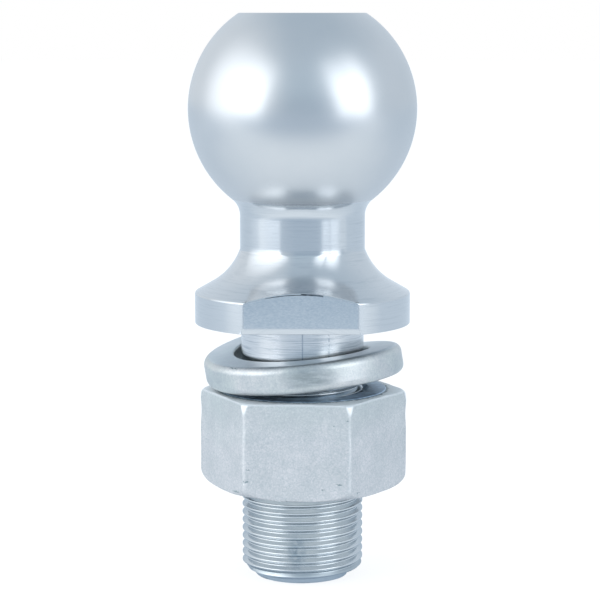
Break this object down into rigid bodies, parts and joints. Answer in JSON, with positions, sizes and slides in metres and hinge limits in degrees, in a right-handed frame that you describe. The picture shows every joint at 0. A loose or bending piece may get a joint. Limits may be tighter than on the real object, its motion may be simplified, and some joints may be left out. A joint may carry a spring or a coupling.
{
  "type": "threaded tow ball",
  "caption": "Tow ball with a flat crown, on a flared flange with wrench flats and a threaded shank that carries a split spring washer and a hexagon nut.",
  "frame": {"origin": "middle of the shank's end face, on the stud's axis, where the part stands", "axes": "+Z along the stud's axis, from the shank's end to the ball's crown; the wrench flats face -Y and +Y, one degree off"},
  "size_m": [0.0588, 0.0588, 0.146],
  "materials": {
    "bright_zinc": "bright zinc plate on turned and ground steel",
    "satin_zinc": "satin zinc plate on coiled spring steel",
    "matte_zinc": "matte zinc plate on forged steel"
  },
  "bodies": {
    "ball_stud": {"ball_stud": "bright_zinc"},
    "lock_washer": {"lock_washer": "satin_zinc"},
    "hex_nut": {"hex_nut": "matte_zinc"}
  },
  "joints": [
    {"name": "washer_travel", "type": "slide", "parent": "ball_stud", "child": "lock_washer", "axis": [0, 0, 1], "range_m": [-0.02, 0.0013]},
    {"name": "nut_turn", "type": "hinge", "parent": "lock_washer", "child": "hex_nut", "pos_m": [0, 0, 0.0367], "axis": [0, 0, 1], "range_deg": [-3400, 220]}
  ],
  "couplings": [
    {"joint": "washer_travel", "follows": "nut_turn", "m_per_rad": 0.0003369}
  ]
}
